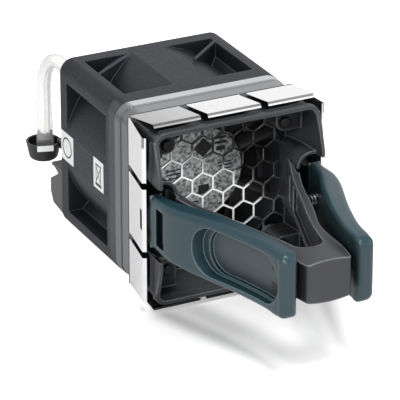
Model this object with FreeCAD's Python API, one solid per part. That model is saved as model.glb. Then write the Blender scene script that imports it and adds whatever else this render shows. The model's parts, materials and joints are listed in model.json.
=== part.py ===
import FreeCAD, Part
import math
import os

from FreeCAD import Vector

# Server fan module. Millimetres. +X right, +Z up, -Y towards the pull handle.
# The origin is the centre of the fan's rear face, on the fan axis, and +Y points out of it.
# Places in front of the fan are given as a distance ahead of the collar's rear edge.

# ---------------------------------------------------------------- fan
FAN_SIZE = 92.0              # square side
FAN_HALF = FAN_SIZE / 2
FAN_LENGTH = 76.0            # two rotors in a row
FAN_CORNER_RADIUS = 7.5
HOLE_SPACING = 82.5          # standard pattern of a 92 mm fan
HOLE_RADIUS = 2.15
DUCT_WALL = 3.0              # where the duct comes nearest to the flat sides
DUCT_RADIUS = FAN_HALF - DUCT_WALL
BARREL_WALL = 3.8            # round barrel, cut flat by the square
BARREL_RADIUS = DUCT_RADIUS + BARREL_WALL
POST_WIDTH = 10.0            # corner posts
POST_EDGE_RADIUS = 1.6
WEB_THICKNESS = 3.0          # diagonal webs between barrel and posts
REAR_FLANGE = 7.5
FRONT_FLANGE = 10.0          # visible part, behind the collar
RIB_THICKNESS = 1.6
VANE_COUNT = 8
VANE_THICKNESS = 1.5
VANE_LEAN = 24.0             # degrees from the fan axis
VANE_SWEEP = 4.0             # the vanes' outer ends reach this far ahead of the base

# ---------------------------------------------------------------- motors and rotors
HUB_RADIUS = 24.0
HUB_WALL = 1.9
HUB_LENGTH = 18.4
BASE_RADIUS = 25.0
BASE_DEPTH = 6.0
BASE_PLATE = 2.0
BASE_RECESS = 10.6           # base plate's face behind the fan's face
FRONT_BLADE_COUNT = 7
REAR_BLADE_COUNT = 5
BLADE_THICKNESS = 1.6
TIP_CLEARANCE = 0.9
SHAFT_RADIUS = 1.5
BEARING_RADIUS = 4.0
BEARING_WIDTH = 4.0
TUBE_WALL = 1.4
MAGNET_THICKNESS = 2.6
COIL_GAP = 0.7
RUNNING_GAP = 0.05
ROTOR_GAP = 1.2              # between a stator base and its rotor's rim
BOARD_THICKNESS = 1.2
LABEL_RADIUS = 24.2
LABEL_THICKNESS = 0.2
REAR_LABEL = ((-15.2, -0.6), (-7.6, 8.0))       # on the left side: along the fan, and up
FRONT_LABEL = ((24.5, 36.0), (-8.0, 8.2))       # the same, from the fan's front face

# ---------------------------------------------------------------- collar and contact strips
COLLAR_LENGTH = 15.0
COLLAR_OVERLAP = 10.6        # over the fan's front end
COLLAR_WALL = 0.9
COLLAR_STEP = 0.35
COLLAR_STEP_AT = 6.4
COLLAR_CORNER_RADIUS = 8.0
STRIP_THICKNESS = 0.3
STRIP_TAIL = 2.2             # flat part that lies on the bezel
STRIP_CREST_AT = 39.5
STRIP_RISE = 4.0             # the crests stand this far out of the fan's sides
STRIP_CREST = FAN_HALF + STRIP_RISE
STRIP_FOLD = (0.9, 1.8)      # forward and inward, from the crest to the free edge
STRIP_TAPER = 1.2
STRIP_ENDS_TOP = (14.5, 18.5, 45.0)      # middle strip's end, outer strip's two ends
STRIP_ENDS_SIDE = (16.7, 20.1, 45.0)
HOOK_SLOT_HALF = 5.4

# ---------------------------------------------------------------- bezel
BEZEL_HALF = FAN_HALF - STRIP_THICKNESS
BEZEL_RELIEF = 0.8           # step ahead of the strips' flat part
BEZEL_RADIUS = 7.0
LIP_AT = 44.0
LIP_HALF_X = BEZEL_HALF - 0.1
LIP_HALF_Z = BEZEL_HALF + 0.5
LIP_FROM = 36.0              # the outside widens to the lip from here
TUNNEL_HALF_X = BEZEL_HALF - 5.3
TUNNEL_HALF_Z = BEZEL_HALF - 3.7
TUNNEL_DRAFT_X = 0.099       # the tunnel widens this much for each millimetre ahead
TUNNEL_DRAFT_Z = 0.064
TUNNEL_RADIUS = 4.5
LIP_WALL = 2.4
LIP_EDGE = 0.9
SLOT_FROM = 38.4             # slots under the strips' free edges
SLOT_TO = 41.6
SLOT_DEPTH = 1.0
CHANNEL_HALF = 19.5          # lever channel in each side wall
CHANNEL_START = 17.4
CHANNEL_X = BEZEL_HALF - 6.4     # channel's inner wall at the grille, beside the lever
CHANNEL_MOUTH_X = BEZEL_HALF - 11.3      # and at the lip: it leans the way the handle's arms do
CHANNEL_RADIUS = 6.5
SKIN = 1.6                   # wall of the channel
SKIN_END = 37.0
CHEEK_AT = 50.0              # where the side walls sweep forward
BOSS_X = BEZEL_HALF - 13.3
BOSS_Z = BEZEL_HALF - 12.2
BOSS_RADIUS = 4.6
BOSS_END = 31.0
SCREW_RADIUS = 1.5
SCREW_HEAD_RADIUS = 3.0
SCREW_HEAD_HEIGHT = 2.0
SCREW_DEPTH = 12.0           # into the fan frame

# ---------------------------------------------------------------- grille
GRILLE_AT = 16.0
GRILLE_THICKNESS = 0.8
GRILLE_RIM = 0.8
GRILLE_HALF = BEZEL_HALF - 2.7
HEX_PITCH = 11.5
HEX_RIB = 1.05
HEX_ROW_OFFSET = 1.3

# ---------------------------------------------------------------- handle
HANDLE_TIP_AT = 138.0
HANDLE_HALF_HEIGHT = 9.7
HANDLE_CROWN = 1.3
CROWN_LENGTH = 38.0
HANDLE_TIP_INSET = 33.7      # inside the bezel's side, like the stations of the arms
HANDLE_TIP_HALF = BEZEL_HALF - HANDLE_TIP_INSET
HANDLE_CORNER = 2.0
HANDLE_EDGE = 1.2
ROOT_HALF_HEIGHT = 13.0
ROOT_TALL_TO = 38.0
ROOT_LOW_FROM = 62.0
ARM_POCKETS = [(37.0, 45.0), (48.5, 108.0)]      # in the inner face of each arm
ARM_POCKET_HALF = 7.3
ARM_POCKET_DEPTH = 2.4

# ---------------------------------------------------------------- latch levers
PIVOT_AT = 20.2
PIVOT_X = BEZEL_HALF - 3.0
LEVER_BOSS_RADIUS = 2.3
LEVER_BOSS_HALF = 10.5
PIN_RADIUS = 1.0
PIN_HALF = 22.0
LEVER_FLOOR = 3.0
LEVER_WINDOW = (48.3, 56.5, 9.9)         # near end, far end, half height
LEVER_RECESS = (76.0, 133.0, 12.8)
HOOK_HALF = 5.0
HOOK_AT = 37.4
HOOK_OUT = STRIP_CREST - 1.5
SPRING_AT = 54.0
SPRING_RADIUS = 2.5
SPRING_WIRE = 0.3
SPRING_TURNS = 5
SPRING_IN = BEZEL_HALF - 13.9
SPRING_OUT = BEZEL_HALF - 4.4

# ---------------------------------------------------------------- lead, connector, bracket
LEAD_X = 10.0 - FAN_HALF
LEAD_Z = FAN_HALF - 11.7
LEAD_RADIUS = 3.8
LEAD_WALL = 0.4
LEAD_FOOT_RADIUS = 4.8       # the sleeve widens towards its lower end
LEAD_BEND = 21.6
LEAD_DROP_AT = 43.6          # y of the lead's straight drop
LEAD_START = -6.0
WIRE_RADIUS = 0.95
WIRE_END_Z = -12.5
CUP_X = LEAD_X - 1.0         # round plug body round the sleeve's foot
CUP_TOP_Z = -17.4
CUP_FLOOR_Z = -21.9
CUP_BOTTOM_Z = -27.2
CUP_RADIUS = 9.3
CUP_WALL = 1.2
CUP_FOOT_RADIUS = 7.4
CUP_EDGE = 2.6
INSERT_HALF = 4.3            # white insert that stands in a notch of the cup
INSERT_Z = (-20.0, -14.6)
INSERT_DEPTH = 2.2
INSERT_TURN = -17.0          # degrees
SOCKET_HALF = 4.8            # contact socket in the cup's rear
SOCKET_Z = (-25.2, -22.6)
SOCKET_DEPTH = 4.5
CONTACT_COUNT = 6
CONTACT_HALF = 0.4
ARM_HALF = 3.5
ARM_X = LEAD_X + 7.5
ARM_Z = (-19.0, -15.5)
BRACKET_X = 3.0 - FAN_HALF
BRACKET_THICKNESS = 1.6
BRACKET_REACH = 21.4
BRACKET_SHELF = 19.5         # how far back the shelf under the arm reaches
BRACKET_BOTTOM = 2.0 - FAN_HALF
BRACKET_INNER = 24.0 - FAN_HALF
BRACKET_SCREWS = [(7.5 - FAN_HALF, 20.0 - FAN_HALF), (14.5 - FAN_HALF, 7.4 - FAN_HALF)]
BRACKET_SCREW_RADIUS = 1.25

FRONT_FACE = -FAN_LENGTH
COLLAR_REAR = FRONT_FACE + COLLAR_OVERLAP
COLLAR_FRONT = COLLAR_REAR - COLLAR_LENGTH
HOLE_AT = HOLE_SPACING / 2
X_AXIS = Vector(1, 0, 0)
Y_AXIS = Vector(0, 1, 0)
Z_AXIS = Vector(0, 0, 1)
ORIGIN = Vector(0, 0, 0)


def ahead(distance):
    """y of a place that lies this far ahead of the collar's rear edge."""
    return COLLAR_REAR - distance


# ---------------------------------------------------------------- general shapes
def box(x0, x1, y0, y1, z0, z1):
    return Part.makeBox(x1 - x0, y1 - y0, z1 - z0, Vector(x0, y0, z0))


def rod_y(radius, y0, y1, x=0.0, z=0.0):
    return Part.makeCylinder(radius, y1 - y0, Vector(x, y0, z), Y_AXIS)


def rod_z(radius, x, y, z0, z1):
    return Part.makeCylinder(radius, z1 - z0, Vector(x, y, z0), Z_AXIS)


def rod_x(radius, x0, x1, y, z):
    return Part.makeCylinder(radius, x1 - x0, Vector(x0, y, z), X_AXIS)


def tube_y(outer, inner, y0, y1):
    return rod_y(outer, y0, y1).cut(rod_y(inner, y0 - 1, y1 + 1))


def prism(points, direction):
    """Solid swept from a flat polygon."""
    wire = Part.makePolygon(points + [points[0]])
    return Part.Face(wire).extrude(direction)


def rounded_wire(half_x, half_z, radius, y):
    """Rectangle with round corners, square to the fan axis."""
    ix = half_x - radius
    iz = half_z - radius
    mid = radius * math.sqrt(0.5)
    edges = []
    corners = [(ix, iz, 1, 1), (-ix, iz, -1, 1), (-ix, -iz, -1, -1), (ix, -iz, 1, -1)]
    for index, (cx, cz, sx, sz) in enumerate(corners):
        along_x = Vector(cx + sx * radius, y, cz)
        along_z = Vector(cx, y, cz + sz * radius)
        start, end = (along_x, along_z) if index % 2 == 0 else (along_z, along_x)
        middle = Vector(cx + sx * mid, y, cz + sz * mid)
        if edges:
            edges.append(Part.LineSegment(edges[-1].Vertexes[-1].Point, start).toShape())
        edges.append(Part.Arc(start, middle, end).toShape())
    edges.append(Part.LineSegment(edges[-1].Vertexes[-1].Point, edges[0].Vertexes[0].Point).toShape())
    return Part.Wire(edges)


def rounded_block(half_x, half_z, radius, y0, y1):
    face = Part.Face(rounded_wire(half_x, half_z, radius, y0))
    return face.extrude(Vector(0, y1 - y0, 0))


def mirrored_x(shape):
    return shape.mirror(ORIGIN, X_AXIS)


def mirrored_z(shape):
    return shape.mirror(ORIGIN, Z_AXIS)


def mirrored_fan(shape):
    """The rear half of the fan mirrors the front half about the middle of its length."""
    return shape.mirror(Vector(0, FRONT_FACE / 2, 0), Y_AXIS)


def turned(shape, degrees):
    copy = shape.copy()
    copy.rotate(ORIGIN, Y_AXIS, degrees)
    return copy


def write(name, *shapes):
    """One STEP file, with every closed body in it as a separate solid."""
    solids = [solid for shape in shapes for solid in shape.Solids]
    assert solids, name
    shape = solids[0] if len(solids) == 1 else Part.makeCompound(solids)
    shape.exportStep(os.path.join("parts", name + ".step"))


# ---------------------------------------------------------------- fan frame
def side_pockets():
    """The open spaces round the barrel, between the flanges and the corner posts."""
    y0 = COLLAR_REAR + FRONT_FLANGE
    y1 = -REAR_FLANGE
    wide = FAN_HALF + 1
    inner = FAN_HALF - POST_WIDTH
    space = box(-wide, wide, y0, y1, -wide, wide)
    space = space.cut(rod_y(BARREL_RADIUS, y0 - 1, y1 + 1))
    for turn in range(4):
        post = box(inner, wide + 1, y0 - 1, y1 + 1, inner, wide + 1)
        edge = [e for e in post.Edges if is_along_y(e, inner, inner)]
        post = post.makeFillet(POST_EDGE_RADIUS, edge)
        web = box(DUCT_RADIUS, inner * math.sqrt(2) + 1, y0 - 1, y1 + 1,
                  -WEB_THICKNESS / 2, WEB_THICKNESS / 2)
        web = turned(web, -45)
        space = space.cut(turned(post.fuse(web), 90 * turn))
    return space


def is_along_y(edge, x, z):
    points = [vertex.Point for vertex in edge.Vertexes]
    return all(abs(p.x - x) < 1e-6 and abs(p.z - z) < 1e-6 for p in points)


def pocket_rib(x0, y0, x1, y1):
    """Upright rib across a top pocket, flush with the top of the frame."""
    length = math.hypot(x1 - x0, y1 - y0)
    angle = math.degrees(math.atan2(y1 - y0, x1 - x0))
    rib = box(0, length, -RIB_THICKNESS / 2, RIB_THICKNESS / 2, DUCT_RADIUS / 2, FAN_HALF)
    rib.rotate(ORIGIN, Z_AXIS, angle)
    rib.translate(Vector(x0, y0, 0))
    return rib


def corner_holes(radius, y0, y1):
    places = [(sx * HOLE_AT, sz * HOLE_AT) for sx in (-1, 1) for sz in (-1, 1)]
    return [rod_y(radius, y0, y1, x, z) for x, z in places]


def fan_frame():
    nose_half = FAN_HALF - COLLAR_WALL
    body = rounded_block(FAN_HALF, FAN_HALF, FAN_CORNER_RADIUS, COLLAR_REAR, 0)
    nose = rounded_block(nose_half, nose_half, COLLAR_CORNER_RADIUS - COLLAR_WALL,
                         FRONT_FACE, COLLAR_REAR)
    body = body.fuse(nose).cut(side_pockets())
    post_in = FAN_HALF - POST_WIDTH
    ribs = [pocket_rib(-post_in - 0.8, -26.5, -8.4, -REAR_FLANGE + 0.5),
            pocket_rib(16.5, -29.0, post_in + 0.8, -11.5)]
    body = body.fuse(ribs)
    cuts = [rod_y(DUCT_RADIUS, FRONT_FACE - 1, 1)]
    cuts += corner_holes(HOLE_RADIUS, FRONT_FACE - 1, 1)
    cuts.append(rod_y(LEAD_RADIUS, -REAR_FLANGE - 1, 1, LEAD_X, LEAD_Z))
    cuts += boss_rods(SCREW_RADIUS, FRONT_FACE - 1, FRONT_FACE + SCREW_DEPTH)
    cuts += [rod_y(BRACKET_SCREW_RADIUS, -REAR_FLANGE + 1.5, 1, x, z) for x, z in BRACKET_SCREWS]
    body = body.cut(cuts)
    return body.removeSplitter()


# ---------------------------------------------------------------- stators, motors, rotors
BASE_FACE = FRONT_FACE + BASE_RECESS
BASE_END = BASE_FACE + BASE_DEPTH


def curved_blade(stations, thickness):
    """Lofted blade. Each station is (radius, front y, rear y, lean in degrees, turn in degrees)."""
    wires = []
    for radius, y_front, y_rear, lean, turn in stations:
        half = math.tan(math.radians(lean)) * (y_rear - y_front) / 2
        bow = (y_rear - y_front) * 0.12
        t = thickness / 2
        middle_y = (y_front + y_rear) / 2
        corners = [Vector(radius, y_front, -half - t), Vector(radius, middle_y, bow - t),
                   Vector(radius, y_rear, half - t), Vector(radius, y_rear, half + t),
                   Vector(radius, middle_y, bow + t), Vector(radius, y_front, -half + t)]
        edges = [Part.Arc(corners[0], corners[1], corners[2]).toShape(),
                 Part.LineSegment(corners[2], corners[3]).toShape(),
                 Part.Arc(corners[3], corners[4], corners[5]).toShape(),
                 Part.LineSegment(corners[5], corners[0]).toShape()]
        wire = Part.Wire(edges)
        wire.rotate(ORIGIN, Y_AXIS, turn)
        wires.append(wire)
    return Part.makeLoft(wires, True)


def stator():
    """Motor base with its cup and tube, and the vanes that carry it in the duct."""
    base = rod_y(BASE_RADIUS, BASE_FACE, BASE_END)
    base = base.cut(rod_y(BASE_RADIUS - 1.5, BASE_FACE + BASE_PLATE, BASE_END + 1))
    tube_end = HUB_FLOOR - ROTOR_GAP
    tube = rod_y(BEARING_RADIUS + TUBE_WALL, BASE_FACE + BASE_PLATE - 0.5, tube_end)
    body = base.fuse(tube)
    body = body.cut(rod_y(BEARING_RADIUS, BASE_FACE + BASE_PLATE, tube_end + 1))
    vane = curved_blade([(BASE_RADIUS - 0.8, BASE_FACE + 0.5, BASE_END - 0.5, VANE_LEAN, 0),
                         (DUCT_RADIUS + 1, BASE_FACE - VANE_SWEEP, BASE_END - 0.5, VANE_LEAN, 0)],
                        VANE_THICKNESS)
    vane = vane.common(rod_y(DUCT_RADIUS, FRONT_FACE, BASE_END))
    vanes = [turned(vane, (i + 0.5) * 360 / VANE_COUNT) for i in range(VANE_COUNT)]
    return body.fuse(vanes).removeSplitter()


HUB_RIM = BASE_END + ROTOR_GAP
HUB_END = HUB_RIM + HUB_LENGTH
HUB_FLOOR = HUB_END - HUB_WALL


def impeller(blade_count):
    """Hub cup that opens to the motor base, with twisted blades."""
    hub = rod_y(HUB_RADIUS, HUB_RIM, HUB_END)
    rim = [e for e in hub.Edges if abs(e.BoundBox.YMin - HUB_END) < 1e-6]
    hub = hub.makeFillet(HUB_WALL * 0.8, rim)
    hub = hub.cut(rod_y(HUB_RADIUS - HUB_WALL, HUB_RIM - 1, HUB_FLOOR))
    boss = rod_y(SHAFT_RADIUS + 1.6, HUB_FLOOR - ROTOR_GAP / 2, HUB_END)
    hub = hub.fuse(boss)
    tip = DUCT_RADIUS - TIP_CLEARANCE
    y0 = HUB_RIM + 1.0
    y1 = HUB_END - 1.0
    blade = curved_blade([(HUB_RADIUS - 1.0, y0, y1, 46, 0),
                          ((HUB_RADIUS + tip) / 2, y0 + 0.8, y1 - 1.0, 54, 5),
                          (tip + 1.5, y0 + 1.6, y1 - 2.4, 60, 12)], BLADE_THICKNESS)
    blade = blade.common(tube_y(tip, HUB_RADIUS - HUB_WALL / 2, y0 - 2, y1 + 2))
    blades = [turned(blade, i * 360 / blade_count) for i in range(blade_count)]
    body = hub.fuse(blades)
    return body.cut(rod_y(SHAFT_RADIUS, HUB_RIM - 1, HUB_END + 1))


def shaft():
    return rod_y(SHAFT_RADIUS, BASE_FACE + BASE_PLATE + 0.3, HUB_END)


def magnet_ring():
    outer = HUB_RADIUS - HUB_WALL
    return tube_y(outer, outer - MAGNET_THICKNESS, HUB_RIM + 2.0, HUB_FLOOR - 3.0)


def bearings():
    first = BASE_FACE + BASE_PLATE + 0.6
    last = HUB_FLOOR - ROTOR_GAP - BEARING_WIDTH
    rings = [tube_y(BEARING_RADIUS, SHAFT_RADIUS + RUNNING_GAP, y, y + BEARING_WIDTH)
             for y in (first, last)]
    return Part.makeCompound(rings)


def coils():
    """Stator core with four wound poles round the tube."""
    inner = BEARING_RADIUS + TUBE_WALL
    outer = HUB_RADIUS - HUB_WALL - MAGNET_THICKNESS - COIL_GAP
    y0 = HUB_RIM + 3.0
    y1 = HUB_FLOOR - 4.0
    core = tube_y(inner + 2.0, inner, y0, y1)
    pole = box(inner + 1, outer - 1.2, y0, y1, -2.2, 2.2)
    shoe = tube_y(outer, outer - 1.6, y0, y1)
    sector = box(0, outer + 1, y0 - 1, y1 + 1, -7.5, 7.5)
    pole = pole.fuse(shoe.common(sector))
    winding = box(inner + 2.6, outer - 1.8, y0 - 1.5, y1 + 1.5, -4.2, 4.2)
    pole = pole.fuse(winding)
    return core.fuse([turned(pole, 90 * i) for i in range(4)]).removeSplitter()


def driver_board():
    y0 = BASE_FACE + BASE_PLATE
    return tube_y(BASE_RADIUS - 2.0, BEARING_RADIUS + TUBE_WALL, y0, y0 + BOARD_THICKNESS)


def hub_label():
    return rod_y(LABEL_RADIUS, BASE_FACE - LABEL_THICKNESS, BASE_FACE)


# ---------------------------------------------------------------- collar and contact strips
def collar():
    step_y = ahead(COLLAR_STEP_AT)
    rear = rounded_block(FAN_HALF, FAN_HALF, COLLAR_CORNER_RADIUS, step_y, COLLAR_REAR)
    low = FAN_HALF - COLLAR_STEP
    front = rounded_block(low, low, COLLAR_CORNER_RADIUS - COLLAR_STEP, COLLAR_FRONT, step_y)
    hollow_half = FAN_HALF - COLLAR_WALL
    hollow = rounded_block(hollow_half, hollow_half, COLLAR_CORNER_RADIUS - COLLAR_WALL,
                           COLLAR_FRONT - 1, COLLAR_REAR + 1)
    return rear.fuse(front).cut(hollow).removeSplitter()


def strip_profile():
    """Section of a contact strip as (y, height) pairs, outside first and then inside."""
    t = STRIP_THICKNESS
    forward, inward = STRIP_FOLD
    outside = [(COLLAR_FRONT, BEZEL_HALF + t), (COLLAR_FRONT - STRIP_TAIL, BEZEL_HALF + t),
               (ahead(STRIP_CREST_AT - 0.6), STRIP_CREST - 0.05),
               (ahead(STRIP_CREST_AT), STRIP_CREST - 0.1),
               (ahead(STRIP_CREST_AT + forward), STRIP_CREST - inward)]
    inside = [(COLLAR_FRONT, BEZEL_HALF), (COLLAR_FRONT - STRIP_TAIL, BEZEL_HALF),
              (ahead(STRIP_CREST_AT - 0.7), STRIP_CREST - 0.05 - t),
              (ahead(STRIP_CREST_AT - 0.2), STRIP_CREST - 0.2 - t),
              (ahead(STRIP_CREST_AT + forward - 0.35), STRIP_CREST - inward)]
    return outside + inside[::-1]


def contact_strip(x0, x1, taper_left, taper_right):
    """One strip on the top side, between x0 and x1 at its tail."""
    points = [Vector(x0, y, z) for y, z in strip_profile()]
    strip = prism(points, Vector(x1 - x0, 0, 0))
    low = BEZEL_HALF - BEZEL_RELIEF
    far = ahead(STRIP_CREST_AT + 4)
    for side, taper in ((-1, taper_left), (1, taper_right)):
        if taper > 0:
            edge = x0 if side < 0 else x1
            corner = [Vector(edge, COLLAR_FRONT - STRIP_TAIL, low),
                      Vector(edge - side * taper, ahead(STRIP_CREST_AT), low),
                      Vector(edge - side * taper, far, low),
                      Vector(edge + side, far, low),
                      Vector(edge + side, COLLAR_FRONT - STRIP_TAIL, low)]
            strip = strip.cut(prism(corner, Vector(0, 0, STRIP_CREST)))
    return strip


def strip_row(ends, with_hook_slot):
    """Three strips on one side, drawn on the top side."""
    middle, near, outer = ends
    left = contact_strip(-outer, -near, STRIP_TAPER, 0)
    centre = contact_strip(-middle, middle, 0, 0)
    right = contact_strip(near, outer, 0, STRIP_TAPER)
    if with_hook_slot:
        slot = box(-HOOK_SLOT_HALF, HOOK_SLOT_HALF, ahead(HOOK_AT + 1.5), ahead(HOOK_AT - 1.8),
                   BEZEL_HALF - BEZEL_RELIEF, STRIP_CREST + 1)
        centre = centre.cut(slot)
    return Part.makeCompound([left, centre, right])


# ---------------------------------------------------------------- bezel
def bezel_outside():
    flange_half = FAN_HALF - COLLAR_WALL - 0.1
    rear = rounded_block(flange_half, flange_half, COLLAR_CORNER_RADIUS - COLLAR_WALL - 0.1,
                         COLLAR_FRONT, FRONT_FACE)
    land = rounded_block(BEZEL_HALF, BEZEL_HALF, BEZEL_RADIUS, COLLAR_FRONT - STRIP_TAIL, COLLAR_FRONT)
    low = BEZEL_HALF - BEZEL_RELIEF
    middle = rounded_block(low, low, BEZEL_RADIUS, ahead(LIP_FROM), COLLAR_FRONT - STRIP_TAIL)
    flare = Part.makeLoft([rounded_wire(low, low, BEZEL_RADIUS, ahead(LIP_FROM)),
                           rounded_wire(LIP_HALF_X, LIP_HALF_Z, BEZEL_RADIUS, ahead(SLOT_TO))], True)
    lip = rounded_block(LIP_HALF_X, LIP_HALF_Z, BEZEL_RADIUS, ahead(LIP_AT), ahead(SLOT_TO))
    front = [e for e in lip.Edges if abs(e.BoundBox.YMax - ahead(LIP_AT)) < 1e-6]
    lip = lip.makeFillet(LIP_EDGE, front)
    return rear.fuse([land, middle, flare, lip])


def cheek_profile(x, top, bottom):
    """Front edge of a side wall: it sweeps ahead of the lip towards the lever channel."""
    y_lip = ahead(LIP_AT)
    reach = CHEEK_AT - LIP_AT
    back = y_lip + 2
    start = Vector(x, y_lip, top)
    middle = Vector(x, y_lip - reach * 0.62, top * 0.5 + bottom * 0.5)
    end = Vector(x, y_lip - reach, bottom + 3)
    low = Vector(x, y_lip - reach, bottom)
    low_back = Vector(x, back, bottom)
    top_back = Vector(x, back, top)
    edges = [Part.Arc(start, middle, end).toShape(), Part.LineSegment(end, low).toShape(),
             Part.LineSegment(low, low_back).toShape(), Part.LineSegment(low_back, top_back).toShape(),
             Part.LineSegment(top_back, start).toShape()]
    return Part.Face(Part.Wire(edges))


def cheeks():
    """Front parts of the side walls. The tunnel is cut from their inside later."""
    inner = LIP_HALF_X - LIP_WALL
    face = cheek_profile(inner, LIP_HALF_Z - BEZEL_RADIUS + 2.5, CHANNEL_HALF)
    web = face.extrude(Vector(LIP_WALL, 0, 0))
    long_edges = [e for e in web.Edges if e.BoundBox.YMin < ahead(LIP_AT + 2) and e.BoundBox.XLength < 1e-6
                  and e.BoundBox.ZLength > 1 and e.BoundBox.XMin > inner + 1]
    web = web.makeFillet(LIP_EDGE, long_edges)
    upper = [web, mirrored_x(web)]
    return upper + [mirrored_z(web) for web in upper]


def strip_slots():
    """Slots in the bezel's outside, under the free edges of the contact strips."""
    floor = BEZEL_HALF - BEZEL_RELIEF - SLOT_DEPTH
    cuts = []
    for turn, ends in ((0, STRIP_ENDS_TOP), (90, STRIP_ENDS_SIDE)):
        middle, near, outer = ends
        spans = [(-outer + STRIP_TAPER + 3.0, -near + 0.4), (-middle - 0.4, middle + 0.4),
                 (near - 0.4, outer - STRIP_TAPER - 3.0)]
        for x0, x1 in spans:
            slot = box(x0, x1, ahead(SLOT_TO), ahead(SLOT_FROM), floor, STRIP_CREST)
            cuts += [turned(slot, turn), turned(slot, turn + 180)]
    return cuts


def channel_section(grow, distance):
    """Section of the right lever channel, or of its outside when grown, this far ahead."""
    lean = (CHANNEL_MOUTH_X - CHANNEL_X) / (LIP_AT - GRILLE_AT)
    inner = CHANNEL_X + lean * (distance - GRILLE_AT) - grow
    outer = BEZEL_HALF + CHANNEL_RADIUS * 2
    wire = rounded_wire((outer - inner) / 2, CHANNEL_HALF + grow, CHANNEL_RADIUS + grow, ahead(distance))
    wire.translate(Vector((outer + inner) / 2, 0, 0))
    return wire


def channel(grow, near, far):
    """Space of the right lever channel between two distances ahead."""
    return Part.makeLoft([channel_section(grow, near), channel_section(grow, far)], True)


def tunnel_section(distance):
    """Section of the air tunnel this far ahead."""
    run = distance - GRILLE_AT
    half_x = TUNNEL_HALF_X + TUNNEL_DRAFT_X * run
    half_z = TUNNEL_HALF_Z + TUNNEL_DRAFT_Z * run
    return rounded_wire(half_x, half_z, TUNNEL_RADIUS, ahead(distance))


def corner_bosses():
    """Screw bosses in the four corners of the tunnel, joined to its walls."""
    y0 = ahead(BOSS_END)
    y1 = ahead(GRILLE_AT + GRILLE_THICKNESS)
    bosses = []
    for sx in (-1, 1):
        for sz in (-1, 1):
            boss = rod_y(BOSS_RADIUS, y0, y1, sx * BOSS_X, sz * BOSS_Z)
            x0, x1 = sorted((sx * BOSS_X, sx * BEZEL_HALF - sx * 3))
            z0, z1 = sorted((sz * (BOSS_Z - BOSS_RADIUS), sz * (BEZEL_HALF - 2)))
            bosses += [boss, box(x0, x1, y0, y1, z0, z1)]
            x0, x1 = sorted((sx * (BOSS_X - BOSS_RADIUS), sx * BOSS_X))
            z0, z1 = sorted((sz * BOSS_Z, sz * (BEZEL_HALF - 2)))
            bosses.append(box(x0, x1, y0, y1, z0, z1))
    return bosses


def boss_rods(radius, y0, y1):
    return [rod_y(radius, y0, y1, sx * BOSS_X, sz * BOSS_Z) for sx in (-1, 1) for sz in (-1, 1)]


def bezel():
    outside = bezel_outside()
    grille = GRILLE_AT + GRILLE_THICKNESS
    y_grille = ahead(grille)
    tunnel = Part.makeLoft([tunnel_section(grille), tunnel_section(CHEEK_AT + 1)], True)
    seat = rounded_block(GRILLE_HALF, GRILLE_HALF, TUNNEL_RADIUS, y_grille, FRONT_FACE + 1)
    walls = outside.fuse(cheeks()).cut([tunnel, seat])
    casing = channel(SKIN, grille, LIP_AT).common(outside)
    mouth = box(CHANNEL_MOUTH_X - SKIN - 1, LIP_HALF_X, ahead(CHEEK_AT + 2), ahead(SKIN_END),
                -CHANNEL_HALF + CHANNEL_RADIUS, CHANNEL_HALF - CHANNEL_RADIUS)
    pin = rod_z(PIN_RADIUS, PIVOT_X, ahead(PIVOT_AT), -PIN_HALF, PIN_HALF)
    mouth = mouth.common(channel(SKIN + 1, SKIN_END, CHEEK_AT + 2))
    right = [channel(0, CHANNEL_START, CHEEK_AT + 2), pin, mouth]
    spaces = right + [mirrored_x(space) for space in right]
    casings = [casing, mirrored_x(casing)]
    walls = walls.fuse(casings + corner_bosses())
    walls = walls.cut(spaces + strip_slots() + boss_rods(SCREW_RADIUS, ahead(BOSS_END + 1), FRONT_FACE + 1))
    return walls.removeSplitter()


def bezel_screws():
    screws = []
    for sx in (-1, 1):
        for sz in (-1, 1):
            x = sx * BOSS_X
            z = sz * BOSS_Z
            shank = rod_y(SCREW_RADIUS, ahead(BOSS_END), FRONT_FACE + SCREW_DEPTH, x, z)
            head = rod_y(SCREW_HEAD_RADIUS, ahead(BOSS_END) - SCREW_HEAD_HEIGHT, ahead(BOSS_END), x, z)
            rim = [e for e in head.Edges if abs(e.BoundBox.YMax - head.BoundBox.YMin) < 1e-6]
            head = head.makeFillet(0.8, rim)
            screws.append(head.fuse(shank))
    return Part.makeCompound(screws)


# ---------------------------------------------------------------- grille
def hexagon(x, z, y):
    radius = (HEX_PITCH - HEX_RIB) / math.sqrt(3)
    return [Vector(x + radius * math.sin(math.radians(60 * i)), y,
                   z + radius * math.cos(math.radians(60 * i))) for i in range(6)]


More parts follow.
